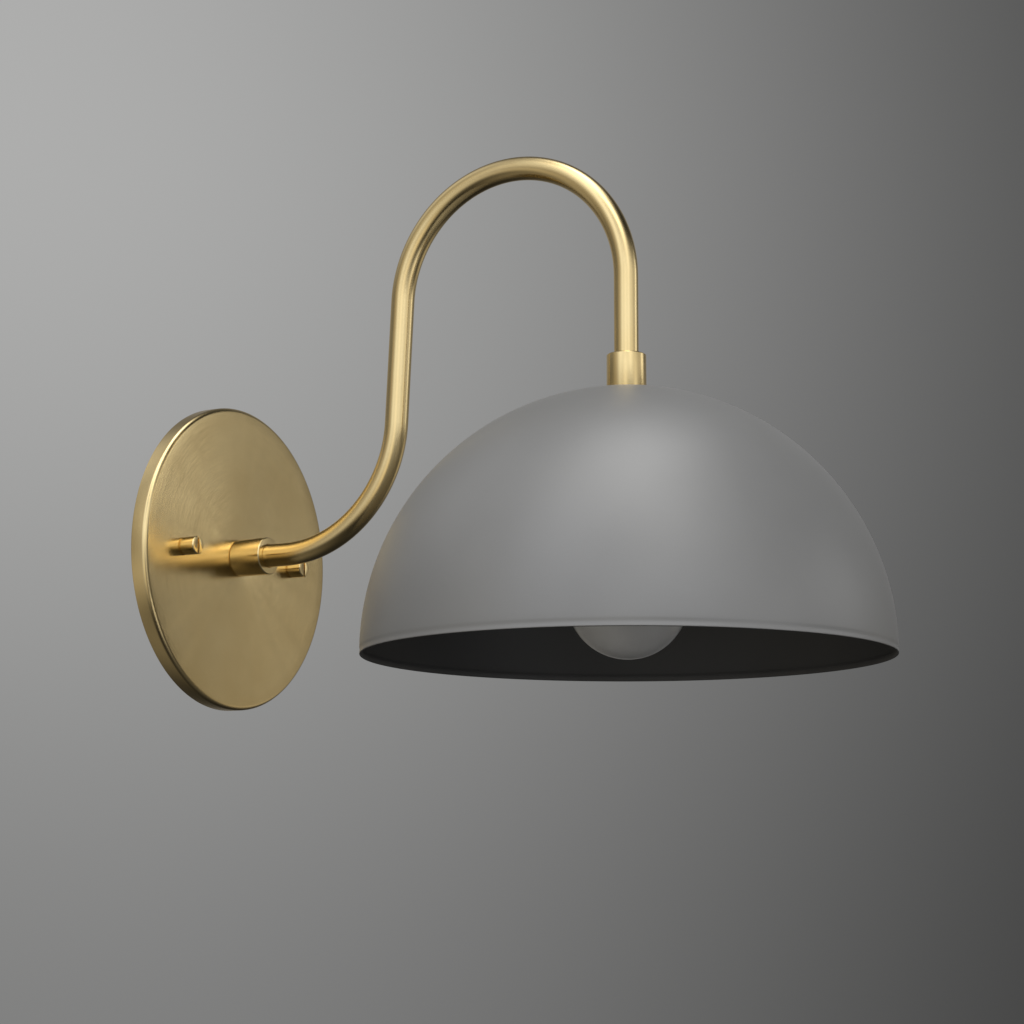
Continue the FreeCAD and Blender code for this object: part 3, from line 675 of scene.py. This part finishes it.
def buildCapNut(side):
    low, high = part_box("cap_nut_" + side)
    radius, foot, top = (high.x - low.x) / 2, -high.y, -low.y
    chamfer, edge, hole = capNut["chamfer"], capNut["edge"], capNut["hole"]
    under = capNut["foot chamfer"]
    corners = [(hole + capNut["mouth"], foot, 0), (radius - under, foot, 0), (radius, foot + under, edge),
               (radius, top - chamfer, edge), (radius - chamfer, top, edge), (0, top, 0),
               (0, foot + capNut["hole depth"], 0), (hole, foot + capNut["hole depth"], 0)]
    turns = int(capNut["hole depth"] / capNut["pitch"]) - 1
    for i in range(turns, 0, -1):  # the thread inside, as grooves
        height = foot + (i + 0.5) * capNut["pitch"]
        corners += [(hole, height, 0), (hole + capNut["thread depth"], height - capNut["pitch"] / 2, 0)]
    corners += [(hole, foot + under, 0)]
    piece = turned("capNut" + side.capitalize(), rounded(corners, 3), capNut["sides"])
    depth = capNut["slot depth"]
    slotBar = bar((capNut["slot width"], 4 * radius, depth * 2), (0, 0, top))
    cutBy(piece, slotBar)
    applied(piece, "BEVEL", width=capNut["slot edge"], segments=2, limit_method="ANGLE",
            angle_limit=math.radians(60), harden_normals=False)
    settled(piece, Matrix.Translation((middleOf("cap_nut_" + side).x, 0, 0)) @ onWall)
    return finished(piece, "nut_" + side, nutBrass, ["cap_nut_" + side], 30)


def buildNutWasher(side):
    low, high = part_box("cap_nut_washer_" + side)
    radius, foot, top = (high.x - low.x) / 2, -high.y, -low.y
    edge, bore = nutWasher["edge"], capNut["hole"] + nutWasher["play"]
    points = rounded([(bore, foot, 0), (radius, foot, edge), (radius, top, edge), (bore, top, edge)], 3)
    piece = turned("nutWasher" + side.capitalize(), points, nutWasher["sides"])
    settled(piece, Matrix.Translation((middleOf("cap_nut_washer_" + side).x, 0, 0)) @ onWall)
    return finished(piece, "washer_" + side, nutBrass, ["cap_nut_washer_" + side])


collar = {
    "chamfer": 0.45 * mm,
    "edge": 0.12 * mm,
    "foot edge": 0.5 * mm,
    "socket": 10.0 * mm,
    "tube bore": 6.1 * mm,
    "thread bore": 5.18 * mm,
    "bore break": 0.2 * mm,
    "sides": 128,
}


def buildCollar(name, node, low, high, place, material):
    radius = radiusOf(node)
    chamfer, edge, bore = collar["chamfer"], collar["edge"], collar["tube bore"]
    shoulder, lead = high - collar["socket"], collar["bore break"]
    corners = [(collar["thread bore"], low, 0), (radius, low, collar["foot edge"]),
               (radius, high - chamfer, edge), (radius - chamfer, high, edge), (bore + lead, high, 0),
               (bore, high - lead, 0), (bore, shoulder, 0), (collar["thread bore"], shoulder, 0)]
    piece = turned(name, rounded(corners, 3), collar["sides"])
    settled(piece, place)
    return finished(piece, "fixture", material, [node])


arm = {
    "wall": 1.0 * mm,
    "arch radius": 64.2 * mm,
    "arch height": 124.0 * mm,
    "low bend radius": 66.2 * mm,
    "lean": 2.5,
    "sides": 72,
    "start rings": 4,
    "low bend rings": 44,
    "leg rings": 8,
    "arch rings": 80,
    "drop rings": 6,
}


def armShape():
    low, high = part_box("arm_tube")
    tube = (high.x - low.x) / 2
    lean = math.radians(arm["lean"])
    radii = arm["arch radius"] + arm["low bend radius"]
    leg = (arm["arch height"] + radii * math.sin(lean) - arm["low bend radius"]) / math.cos(lean)
    bendStart = -lampY - arm["arch radius"] - radii * math.cos(lean) - leg * math.sin(lean)
    return tube, lean, leg, bendStart, -high.y


def buildArm():
    tube, lean, leg, bendStart, tubeStart = armShape()
    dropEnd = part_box("lower_collar")[1].z - collar["socket"]
    bpy.ops.object.select_all(action="DESELECT")
    bpy.ops.mesh.primitive_circle_add(vertices=arm["sides"], radius=tube, location=(0, -tubeStart, 0),
                                      rotation=(math.pi / 2, 0, 0))
    piece = bpy.context.object
    piece.name = "armTube"
    editing(True)
    bpy.ops.mesh.select_all(action="SELECT")

    def straight(vector, count):
        for _ in range(count):
            bpy.ops.mesh.extrude_edges_move(TRANSFORM_OT_translate={"value": Vector(vector) / count})

    def bend(angle, centreY, centreZ, steps):
        bpy.ops.mesh.spin(steps=steps, angle=angle, center=(0, centreY, centreZ), axis=(1, 0, 0))

    straight((0, tubeStart - bendStart, 0), arm["start rings"])
    bend(math.pi / 2 - lean, -bendStart, arm["low bend radius"], arm["low bend rings"])
    straight((0, -leg * math.sin(lean), leg * math.cos(lean)), arm["leg rings"])
    bend(lean - math.pi, lampY + arm["arch radius"], arm["arch height"], arm["arch rings"])
    straight((0, 0, dropEnd - arm["arch height"]), arm["drop rings"])
    bpy.ops.mesh.select_all(action="SELECT")
    bpy.ops.mesh.remove_doubles(threshold=nothing)
    bpy.ops.mesh.normals_make_consistent(inside=False)
    editing(False)
    settled(piece)
    applied(piece, "SOLIDIFY", thickness=arm["wall"], offset=-1.0, use_even_offset=True)
    markTube(piece, lean, leg, bendStart)
    satin = brushedBrass("tubeBrass", tubeStrokes, 0.5)
    return finished(piece, "fixture", satin, ["arm_tube"], 50)


def markTube(piece, lean, leg, bendStart):
    # each point's distance along the tube and its direction round it, for the brushing
    low, arch = arm["low bend radius"], arm["arch radius"]
    quarter = math.pi / 2 - lean
    lowCentre, archCentre = Vector((-bendStart, low)), Vector((lampY + arch, arm["arch height"]))
    legEnd = bendStart + low * quarter + leg
    places, headings = [], []
    for vertex in piece.data.vertices:
        x, spot = vertex.co.x, Vector((vertex.co.y, vertex.co.z))
        fromLow, fromArch = spot - lowCentre, spot - archCentre
        lowAngle = math.atan2(-fromLow.x, -fromLow.y)
        archAngle = math.atan2(fromArch.y, fromArch.x)
        turn = 0.0
        if spot.x > -bendStart and spot.y < low:
            along, aside = -spot.x, spot.y
        elif lowAngle < quarter and spot.y < low:
            turn = lowAngle
            along, aside = bendStart + low * lowAngle, low - fromLow.length
        elif spot.x > archCentre.x - arch / 2 and archAngle < lean:
            turn = quarter
            heading = Vector((-math.sin(lean), math.cos(lean)))
            foot = lowCentre + Vector((-math.cos(lean), -math.sin(lean))) * low
            along = bendStart + low * quarter + (spot - foot).dot(heading)
            aside = (spot - foot).dot(Vector((math.cos(lean), math.sin(lean))))
        elif spot.y > arm["arch height"] or archAngle > 0 and fromArch.x > 0:
            turn = math.pi / 2 - archAngle
            along, aside = legEnd + arch * (archAngle - lean), fromArch.length - arch
        else:
            turn = -math.pi / 2
            along = legEnd + arch * (math.pi - lean) + arm["arch height"] - spot.y
            aside = archCentre.x - arch - spot.x
        angle = math.atan2(x, aside)
        places += [along, math.cos(angle), math.sin(angle)]
        headings += [0, -math.cos(turn), math.sin(turn)]
    for name, values in (("tubePlace", places), ("tubeHeading", headings)):
        piece.data.attributes.new(name, "FLOAT_VECTOR", "POINT").data.foreach_set("vector", values)


shade = {
    "wall": 1.0 * mm,
    "flat radius": 11.0 * mm,
    "bore": 5.5 * mm,
    "lip height": 4.2 * mm,
    "neck": 0.22 * mm,
    "sides": 256,
    "rings": 72,
    "lip rings": 8,
    "crown ring": 0.8,
}


def buildShade():
    low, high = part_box("shade")
    radius, crown, rim = (high.x - low.x) / 2, high.z, low.z
    wall, flat = shade["wall"], shade["flat radius"]
    centre = crown - math.sqrt(radius ** 2 - flat ** 2)
    lipTop = rim + shade["lip height"]

    def domeRadius(height, offset=0.0):
        return math.sqrt(max((radius - offset) ** 2 - max(height - centre, 0.0) ** 2, 0.0))

    outer = arcPoints((0, centre), (flat, crown), (domeRadius(lipTop), lipTop), shade["rings"])
    lipOuter = []
    for i in range(1, shade["lip rings"] + 1):  # in to a slight neck and out again to the rim
        height = lipTop + (rim + 0.5 * wall - lipTop) * i / shade["lip rings"]
        bow = math.sin(math.pi * min(max((lipTop - height) / (lipTop - rim), 0.0), 1.0)) ** 2
        lipOuter.append((domeRadius(height) - shade["neck"] * bow, height))
    edge = arcPoints((radius - wall / 2, rim + wall / 2), (radius, rim + wall / 2),
                     (radius - wall / 2, rim), 4)[1:]
    edge += arcPoints((radius - wall / 2, rim + wall / 2), (radius - wall / 2, rim),
                      (radius - wall, rim + wall / 2), 4)[1:]
    lipInner = [(r - wall, h) for r, h in reversed(lipOuter[:-1])]
    innerCrown = crown - wall
    start = (domeRadius(lipTop, wall), lipTop)
    inner = arcPoints((0, centre), start, (domeRadius(innerCrown, wall), innerCrown), shade["rings"])
    bore = shade["bore"]
    points = [(bore, crown), (flat * shade["crown ring"], crown)] + outer + lipOuter
    points += edge + lipInner + inner + [(bore, innerCrown)]
    piece = turned("domeShade", points, shade["sides"])
    settled(piece, onLamp)
    outside = paintFinish("greyPaint", paint["outside"], paint["outside shade"],
                          paint["outside roughness"], paint["outside flake"])
    inside = paintFinish("blackPaint", paint["inside"], paint["inside shade"], paint["inside roughness"])
    finished(piece, "fixture", [outside, inside], ["shade"], 45)
    for face in piece.data.polygons:
        way = Vector((face.center.x, face.center.y - lampY, max(face.center.z - centre, 0.0)))
        if face.normal.dot(way) < 0 or (face.normal.z < -0.6 and face.center.z < centre):
            face.material_index = 1
    return piece


bulb = {
    "glass": 0.9 * mm,
    "neck radius": 13.4 * mm,
    "neck drop": 36.0 * mm,
    "mouth radius": 12.45 * mm,
    "base radius": 12.95 * mm,
    "thread root": 12.15 * mm,
    "pitch": 3.629 * mm,
    "plain band": 4.6 * mm,
    "shoulder radius": 9.6 * mm,
    "shoulder drop": 1.6 * mm,
    "shoulder bore": 4 * mm,
    "band wall": 0.5 * mm,
    "steps": 28,
    "sides": 128,
    "thread sides": 72,
}


def glassOutline(radius, neck, top, mouth, tip, steps):
    # ball, hollow flank and neck, from the mouth down to the pole
    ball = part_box("bulb_glass")[0].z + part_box("bulb_glass")[1].x
    turn = tip - bulb["neck drop"]
    rise = turn - ball
    flank = (neck ** 2 + rise ** 2 - radius ** 2) / (2 * (radius - neck))
    across = neck + flank
    reach = math.hypot(across, rise)
    touch = (radius * across / reach, ball + radius * rise / reach)
    points = [(mouth, top)] + arcPoints((across, turn), (neck, turn), touch, steps)
    points += arcPoints((0, ball), touch, (radius, ball), steps // 2)[1:]
    points += arcPoints((0, ball), (radius, ball), (0, ball - radius), steps)[1:]
    return points


def buildBulbGlass():
    low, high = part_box("bulb_glass")
    radius, top, wall = (high.x - low.x) / 2, high.z, bulb["glass"]
    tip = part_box("bulb_foot_contact")[1].z
    neck, mouth, steps = bulb["neck radius"], bulb["mouth radius"], bulb["steps"]
    outer = glassOutline(radius, neck, top, mouth, tip, steps)
    inner = glassOutline(radius - wall, neck - wall, top, mouth - wall, tip, steps)
    piece = turned("bulbGlobe", outer + inner[::-1], bulb["sides"])
    settled(piece, onLamp)
    return finished(piece, "bulb", frostedGlass(), ["bulb_glass"], 60)


def buildBulbBase():
    low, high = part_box("bulb_base_shell")
    radius, bottom, top = bulb["base radius"], low.z, high.z
    bandTop = bottom + bulb["plain band"]
    shoulder, bore = top - bulb["shoulder drop"], bulb["shoulder bore"]
    thread = threaded("bulbBase", radius, bulb["thread root"], bulb["pitch"], bandTop - 0.6 * mm,
                      shoulder + 0.4 * mm, bulb["thread sides"], wave=True)
    inside = radius - bulb["band wall"]
    bandCorners = [(inside, bottom, 0), (radius, bottom, 0.2 * mm), (radius, bandTop, 0.3 * mm),
                   (inside, bandTop, 0)]
    band = turned("bulbBaseBand", rounded(bandCorners, 3))
    capCorners = [(bore, shoulder, 0), (radius - 0.55 * mm, shoulder, 0.4 * mm),
                  (bulb["shoulder radius"] + 0.1 * mm, top, 0.6 * mm), (bore, top, 0)]
    cap = turned("bulbBaseShoulder", rounded(capCorners, 4))
    piece = joined("bulbBase", thread, band, cap)
    settled(piece, onLamp)
    metal = plainMetal("bulbBaseMetal", (0.80, 0.80, 0.80, 1), (0.62, 0.62, 0.64, 1), 0.30, 260.0, 0.01)
    return finished(piece, "bulb", metal, ["bulb_base_shell"], 60)


holder = {
    "lip height": 3.2 * mm,
    "lip round": 1.4 * mm,
    "body radius": 18.5 * mm,
    "bore": 13.8 * mm,
    "web": 1.9 * mm,
    "cap wall": 0.9 * mm,
    "cap hub": 8.0 * mm,
    "cap hub height": 4.6 * mm,
    "cap shoulder": 5.0 * mm,
    "cap bore": 5.18 * mm,
    "cap bead": 0.5 * mm,
}


def buildHolderBody():
    low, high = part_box("holder_body")
    radius, mouth, top = (high.x - low.x) / 2, low.z, high.z
    body, bore = holder["body radius"], holder["bore"]
    lipTop, roll = mouth + holder["lip height"], holder["lip round"]
    corners = [(0, top, 0), (body, top, 0.6 * mm), (body, lipTop + mm, 0.5 * mm),
               (radius, lipTop - 0.3 * mm, 0.6 * mm),
               (radius, mouth, roll), (bore, mouth, 0.8 * mm), (bore, top - holder["web"], 0.4 * mm),
               (0, top - holder["web"], 0)]
    piece = turned("holderBody", rounded(corners, 6))
    settled(piece, onLamp)
    return finished(piece, "fixture", porcelainFinish(), ["holder_body"])


def buildHolderCap():
    low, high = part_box("holder_cap")
    radius, skirt, top = (high.x - low.x) / 2, low.z, high.z
    wall, shoulder, hub = holder["cap wall"], holder["cap shoulder"], holder["cap hub"]
    roof = top - holder["cap hub height"]
    ceiling, bore, bead = roof - wall, holder["cap bore"], holder["cap bead"]
    corners = [(bore, top, 0), (hub, top, 0.5 * mm), (hub, roof, 0.8 * mm), (radius, roof, shoulder),
               (radius, skirt + 1.6 * mm, 0.3 * mm), (radius - bead * 0.4, skirt + 1.1 * mm, 0.2 * mm),
               (radius, skirt + 0.6 * mm, 0.2 * mm), (radius, skirt, 0.25 * mm),
               (radius - wall, skirt, 0.2 * mm), (radius - wall, ceiling, shoulder - wall),
               (bore, ceiling, 0)]
    piece = turned("holderCap", rounded(corners, 6))
    settled(piece, onLamp)
    capBrass = brushedBrass("capBrass", dropStrokes, 0.6, 0.05)
    return finished(piece, "fixture", capBrass, ["holder_cap"])


threads = {
    "stud depth": 0.36 * mm,
    "stud pitch": 0.79375 * mm,
    "nipple depth": 0.45 * mm,
    "nipple pitch": 0.94 * mm,
    "nipple bore": 3.4 * mm,
    "tip": 0.7 * mm,
    "stud start": 0.1 * mm,
    "stud sides": 32,
    "nipple sides": 48,
}


def buildStuds():
    low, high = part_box("canopy_studs")
    radius, tip = high.z, -low.y
    studs = []
    for x in (low.x + radius, high.x - radius):
        stud = threaded("mountingStuds", radius, radius - threads["stud depth"], threads["stud pitch"],
                        threads["stud start"], tip, threads["stud sides"])
        point = tip - threads["tip"]
        outline = [(0, -mm), (radius * 2, -mm), (radius * 2, point), (radius, point),
                   (radius - threads["tip"], tip), (0, tip)]
        cone = turned("tipCone", outline, 48)
        cutBy(stud, cone, operation="INTERSECT")
        settled(stud, Matrix.Translation((x, 0, 0)) @ onWall)
        studs.append(stud)
    return finished(joined("mountingStuds", *studs), "fixture", zinc, ["canopy_studs"], 25)


def buildNipple(name, node, low, high, place):
    radius = radiusOf(node)
    piece = threaded(name, radius, radius - threads["nipple depth"], threads["nipple pitch"], low, high,
                     threads["nipple sides"])
    cutBy(piece, cylinder(threads["nipple bore"], low - mm, high + mm))
    settled(piece, place)
    return finished(piece, "fixture", zinc, [node], 25)


def buildStage():
    bpy.ops.object.select_all(action="DESELECT")
    bpy.ops.mesh.primitive_circle_add(vertices=studio["floor sides"], radius=studio["floor radius"],
                                      fill_type="NGON", location=(0, 0, studio["floor height"]))
    floor = bpy.context.object
    floor.name = "paleFloor"
    settled(floor)
    f = Finish("floorPaint", {"Base Color": studio["floor colour"], "Roughness": studio["floor roughness"]})
    floor.data.materials.append(f.material)
    floor.visible_diffuse = floor.visible_glossy = False  # the light from below stays dim
    lightWorld()


def lightWorld():
    # soft round glows, strongest overhead and dim below; the backdrop is a grey that only the camera sees,
    # graded with painted shade that is darker low down and towards the dark way and its opposite
    world = bpy.data.worlds.new("softWorld")
    world.use_nodes = True
    bpy.context.scene.world = world
    w = Shading(world.node_tree)
    way = w.node("TexCoord", output="Generated")
    x, y, z = w.parts(way)
    glows = {}
    for azimuth, elevation, tightness, strength, tint in softLights:
        toLight = w.node("VectorMath", {"operation": "DOT_PRODUCT"},
                         {0: way, 1: direction(azimuth, elevation)}, "Value")
        glow = w.maths("MAXIMUM", toLight, 0.0) ** tightness * strength
        glows[tint] = glows[tint] + glow if tint in glows else glow
    glows["plain"] = glows["plain"] + studio["ambient"]
    warm, cool, plain = (w.tinted(studio[tint], glows[tint]) for tint in ("warm", "cool", "plain"))
    light = w.vectorMaths("ADD", w.vectorMaths("ADD", warm, cool), plain)
    # painted shade on the backdrop: darker towards the dark way and the way opposite, and darker low down
    qx, qy, _ = direction(studio["backdrop dark way"] + 90, 0)
    aside = w.spread(w.maths("ABSOLUTE", x * qx + y * qy), *studio["backdrop aside"], "SMOOTHSTEP")
    raised = w.spread(z, *studio["backdrop height"], "SMOOTHSTEP")
    seen = w.node("LightPath", output="Is Camera Ray")
    w.plugInto("Background", {"Color": w.mix(seen, light, w.tinted(studio["backdrop"], aside * raised))})


placeCamera()
buildStage()
scene = bpy.context.scene
scene.view_settings.view_transform = "Standard"
print("camera, light and floor in place")

zinc = zincFinish()
nutBrass = brushedBrass("nutBrass", hubStrokes, 0.15, -0.04)
hubLow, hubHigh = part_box("hub_collar")
dropLow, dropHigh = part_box("lower_collar")
buildCanopy()
for side in ("left", "right"):
    buildNutWasher(side)
    buildCapNut(side)
print("backplate and cap nuts built")

hubBrass = brushedBrass("hubBrass", hubStrokes, 0.8)
buildCollar("hubCollar", "hub_collar", -hubHigh.y, -hubLow.y, onWall, hubBrass)
collarBrass = brushedBrass("collarBrass", dropStrokes, 0.6)
buildCollar("lowerCollar", "lower_collar", dropLow.z, dropHigh.z, onLamp, collarBrass)
buildArm()
buildShade()
print("arm and shade built")

buildBulbGlass()
buildBulbBase()
buildHolderBody()
buildHolderCap()
print("bulb and lamp holder built")

buildStuds()
nippleLow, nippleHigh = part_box("hub_nipple")
buildNipple("hubNipple", "hub_nipple", -nippleHigh.y, -nippleLow.y, onWall)
nippleLow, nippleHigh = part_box("shade_nipple")
buildNipple("shadeNipple", "shade_nipple", nippleLow.z, nippleHigh.z, onLamp)

copper = copperFinish()
nickel = plainMetal("nickelPlate", (0.74, 0.72, 0.68, 1), (0.62, 0.60, 0.57, 1), 0.22)
plainBrass = plainMetal("plainBrass", (0.78, 0.58, 0.30, 1), (0.66, 0.46, 0.20, 1), 0.30)
tungsten = plainMetal("tungstenWire", (0.34, 0.34, 0.35, 1), (0.20, 0.20, 0.21, 1), 0.40)
solder = plainMetal("dullSolder", (0.62, 0.62, 0.62, 1), (0.46, 0.46, 0.47, 1), 0.45, 300.0, 0.03)
blackGlass = plasticFinish("blackVitreous", (0.035, 0.025, 0.05, 1), (0.015, 0.012, 0.02, 1), 0.12, 0.8)
greenSteel = plasticFinish("greenSteel", (0.05, 0.30, 0.10, 1), (0.03, 0.22, 0.07, 1), 0.32, 0.5)
blackLead = plasticFinish("blackInsulation", (0.03, 0.03, 0.03, 1), (0.02, 0.02, 0.02, 1), 0.38)
whiteLead = plasticFinish("whiteInsulation", (0.80, 0.79, 0.76, 1), (0.72, 0.71, 0.67, 1), 0.38)
greenLead = plasticFinish("greenInsulation", (0.05, 0.34, 0.12, 1), (0.03, 0.26, 0.08, 1), 0.38)
nylon = plasticFinish("blackNylon", (0.05, 0.05, 0.05, 1), (0.03, 0.03, 0.03, 1), 0.5)
dressed = {
    "mounting_plate": (zinc, "zinc_steel"), "stud_lock_nuts": (zinc, "zinc_steel"),
    "earth_screw": (greenSteel, "green_steel"), "earth_lug": (zinc, "zinc_steel"),
    "earth_lead": (greenLead, "green_plastic"), "earth_lead_core": (copper, "copper"),
    "hub_tooth_washer": (zinc, "zinc_steel"), "hub_lock_nut": (zinc, "zinc_steel"),
    "hub_bushing": (nylon, "bushing_plastic"), "shade_washer": (zinc, "zinc_steel"),
    "shade_tooth_washer": (zinc, "zinc_steel"), "shade_lock_nut": (zinc, "zinc_steel"),
    "holder_bushing": (nylon, "bushing_plastic"), "holder_side_screws": (plainBrass, "cap_brass"),
    "holder_screw_shell": (plainBrass, "shell_metal"), "contact_leaf": (plainBrass, "shell_metal"),
    "contact_rivets": (plainBrass, "cap_brass"), "line_terminal": (plainBrass, "cap_brass"),
    "neutral_terminal": (nickel, "nickel"), "line_screw": (plainBrass, "cap_brass"),
    "neutral_screw": (nickel, "nickel"), "line_lead": (blackLead, "black_plastic"),
    "neutral_lead": (whiteLead, "white_plastic"), "lead_cores": (copper, "copper"),
}
for node, (material, slot) in dressed.items():
    smoothedCopy(node, material)
inBulb = {
    "bulb_foot_contact": (solder, "solder", "bulb_carriage"),
    "bulb_insulator": (blackGlass, "base_glass", "bulb"),
    "bulb_stem": (clearGlass(), "clear_glass", "bulb"),
    "bulb_support_wires": (tungsten, "filament_metal", "bulb"),
    "bulb_filament": (tungsten, "filament_metal", "bulb"),
}
for node, (material, slot, body) in inBulb.items():
    smoothedCopy(node, material, body)
print("small pieces dressed")
